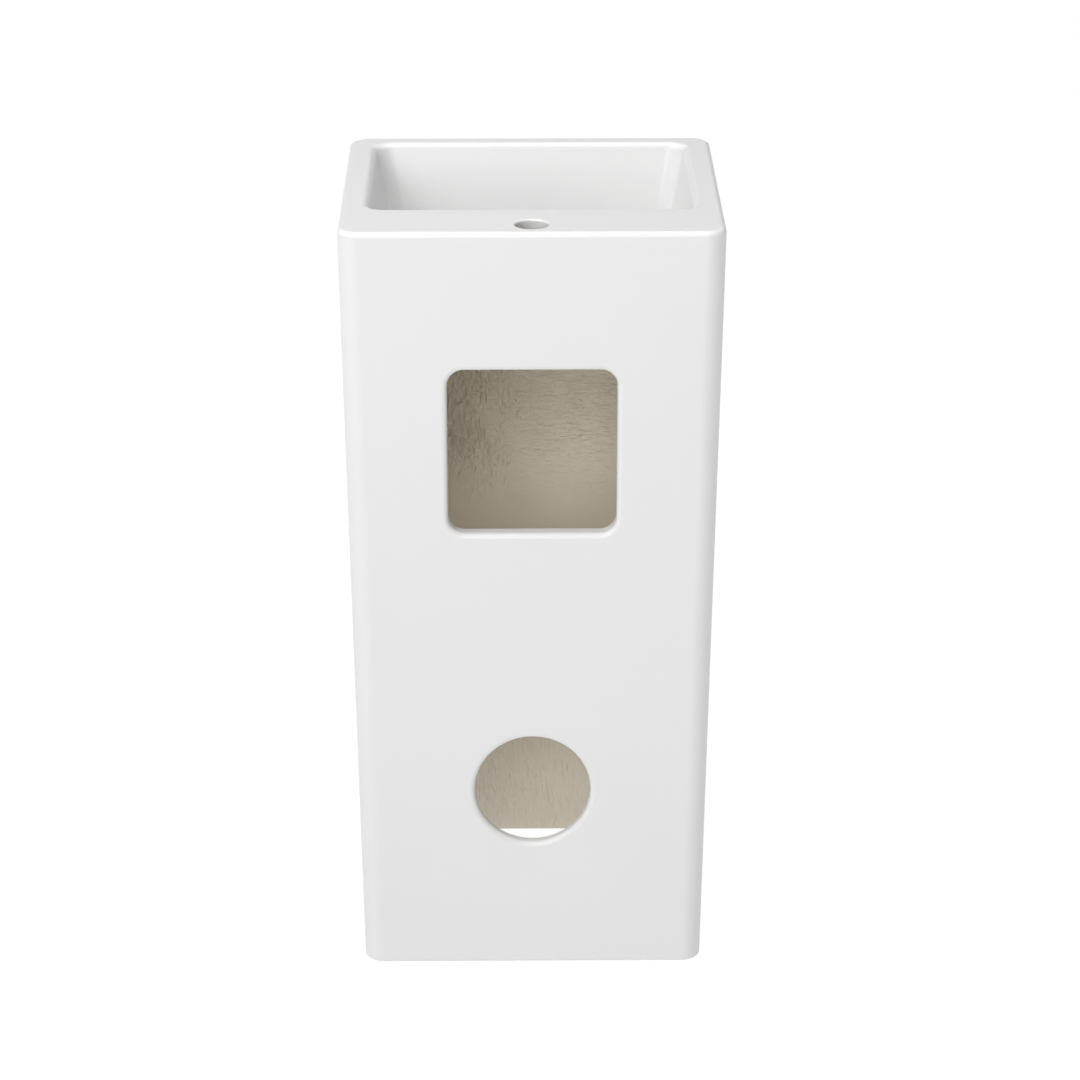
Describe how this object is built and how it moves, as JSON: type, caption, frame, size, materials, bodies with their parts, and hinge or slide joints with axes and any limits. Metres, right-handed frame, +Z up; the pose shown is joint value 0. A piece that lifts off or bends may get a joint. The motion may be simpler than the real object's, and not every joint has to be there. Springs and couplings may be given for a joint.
{
  "type": "pedestal sink",
  "caption": "Free-standing tapered ceramic pedestal sink: rectangular bowl, deck tap hole, square and round service openings in the back, push-button waste.",
  "frame": {"origin": "middle of the foot print box on the floor", "axes": "+Z up, +Y towards the back with the openings, +X to the right when facing the back from -Y"},
  "size_m": [0.4058, 0.3798, 0.85],
  "materials": {
    "glaze": "gloss white glaze",
    "chrome": "polished plate",
    "rubber": "matt moulded",
    "nylon": "moulded, satin",
    "brass": "turned and hot-pressed",
    "steel": "drawn stainless"
  },
  "bodies": {
    "root": {"basin": "glaze", "pedestal_column": "glaze", "waste_body": "chrome", "flange_gasket": "rubber", "taper_washer": "rubber", "slip_washer": "nylon", "backnut": "brass", "cartridge_sleeve": "chrome", "cartridge_collar": "chrome", "click_spring": "steel"},
    "plug": {"plug_cap": "chrome", "plug_seal": "rubber", "plunger": "steel"},
    "latch": {"latch_rotor": "nylon"}
  },
  "joints": [
    {"name": "plug_press", "type": "slide", "parent": "root", "child": "plug", "axis": [0, 0, 1], "range_m": [-0.008, 0], "stiffness_N_per_m": 400, "springref_m": 0.012, "deforming": ["click_spring"]},
    {"name": "latch_index", "type": "hinge", "parent": "plug", "child": "latch", "pos_m": [0, -0.032, 0.718], "axis": [0, 0, 1], "range_deg": [0, 31]}
  ],
  "couplings": [
    {"joint": "latch_index", "follows": "plug_press", "rad_per_m": -65.45}
  ]
}
